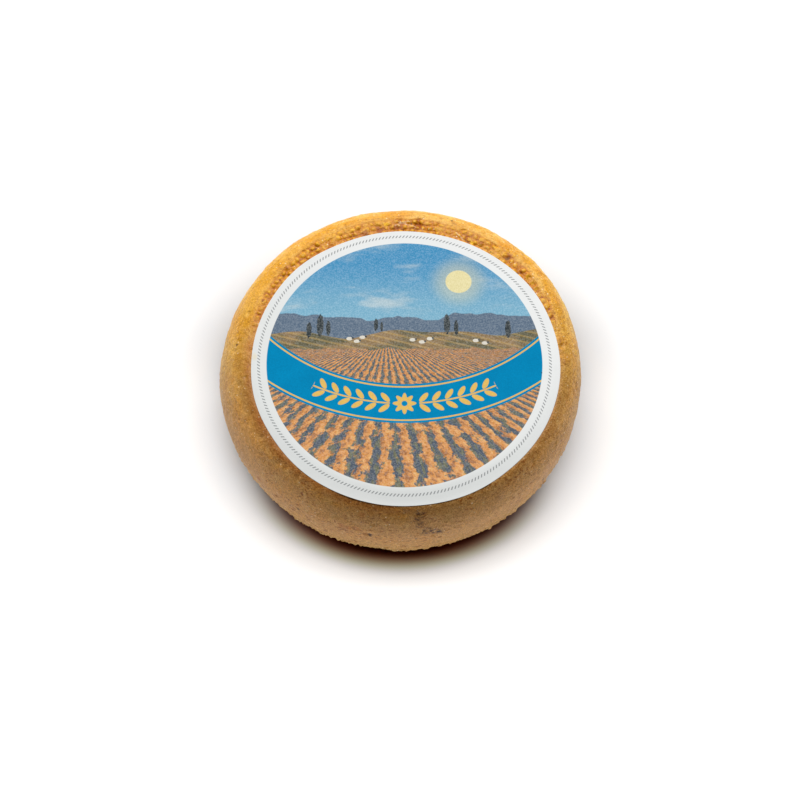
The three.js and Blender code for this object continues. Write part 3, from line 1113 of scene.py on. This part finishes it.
def make_floor():
    half = FLOOR_SIDE / 2
    corners = [(-half, -half, 0), (half, -half, 0), (half, half, 0), (-half, half, 0)]
    floor = new_mesh_object("floor", corners, [(0, 1, 2, 3)], smooth_shading=False)
    floor.location.z = -FLOOR_DROP * MM
    floor.data.materials.append(floor_look())
    return floor


def add_light(name, data):
    light = bpy.data.objects.new(name, data)
    bpy.context.scene.collection.objects.link(light)
    light.rotation_mode = "QUATERNION"
    return light


def light_only(light, pieces):
    """Limits what a light falls on. Every other piece still casts its shadow."""
    lit = bpy.data.collections.new(light.name + "_falls_on")
    for piece in pieces:
        lit.objects.link(piece)
    light.light_linking.receiver_collection = lit


def make_room():
    """White to the camera, and a faint light from all sides to everything else."""
    world = bpy.data.worlds.new("studio")
    bpy.context.scene.world = world
    world.use_nodes = True
    nodes = world.node_tree.nodes
    links = world.node_tree.links
    seen = nodes.new("ShaderNodeLightPath").outputs["Is Camera Ray"]
    strength = nodes.new("ShaderNodeMapRange")
    strength.inputs["To Min"].default_value = FILL
    strength.inputs["To Max"].default_value = 1.0
    links.new(seen, strength.inputs["Value"])
    background = nodes["Background"]
    background.inputs["Color"].default_value = (1, 1, 1, 1)
    links.new(strength.outputs["Result"], background.inputs["Strength"])


def make_lights(floor, pieces):
    key_data = bpy.data.lights.new("key", "SUN")
    key_data.energy = KEY_LIGHT * math.pi / math.sin(KEY_ELEVATION)
    key_data.angle = KEY_ANGLE
    key = add_light("key", key_data)
    towards = Vector((0.0, math.cos(KEY_ELEVATION), math.sin(KEY_ELEVATION)))
    key.rotation_quaternion = towards.to_track_quat("Z", "Y")
    light_only(key, pieces)

    sheet_data = bpy.data.lights.new("overhead_sheet", "AREA")
    sheet_data.shape = "RECTANGLE"
    sheet_data.size, sheet_data.size_y = (side * MM for side in SHEET_SIDES)
    sheet_data.energy = SHEET_POWER
    sheet = add_light("overhead_sheet", sheet_data)
    sheet.location = Vector((0, SHEET_BACK, SHEET_HEIGHT)) * MM
    light_only(sheet, [floor])


def make_camera():
    data = bpy.data.cameras.new("camera")
    data.lens = FOCAL_LENGTH
    data.sensor_width = SENSOR_WIDTH
    data.clip_start = 0.05
    data.clip_end = 50
    camera = bpy.data.objects.new("camera", data)
    back = Vector((0, -math.cos(CAMERA_ELEVATION), math.sin(CAMERA_ELEVATION)))
    camera.location = (Vector(CAMERA_TARGET) + back * CAMERA_DISTANCE) * MM
    camera.rotation_mode = "QUATERNION"
    camera.rotation_quaternion = back.to_track_quat("Z", "Y")
    bpy.context.scene.collection.objects.link(camera)
    bpy.context.scene.camera = camera
    bpy.context.scene.view_settings.view_transform = "Standard"


make_camera()
make_room()
floor = make_floor()

wheel = make_wheel()
wheel.data.materials.append(rind_look())
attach(wheel, "root")
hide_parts("cheese_wheel")

label = make_label()
label.data.materials.append(label_look())
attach(label, "root")
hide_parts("label")
make_lights(floor, [wheel, label])
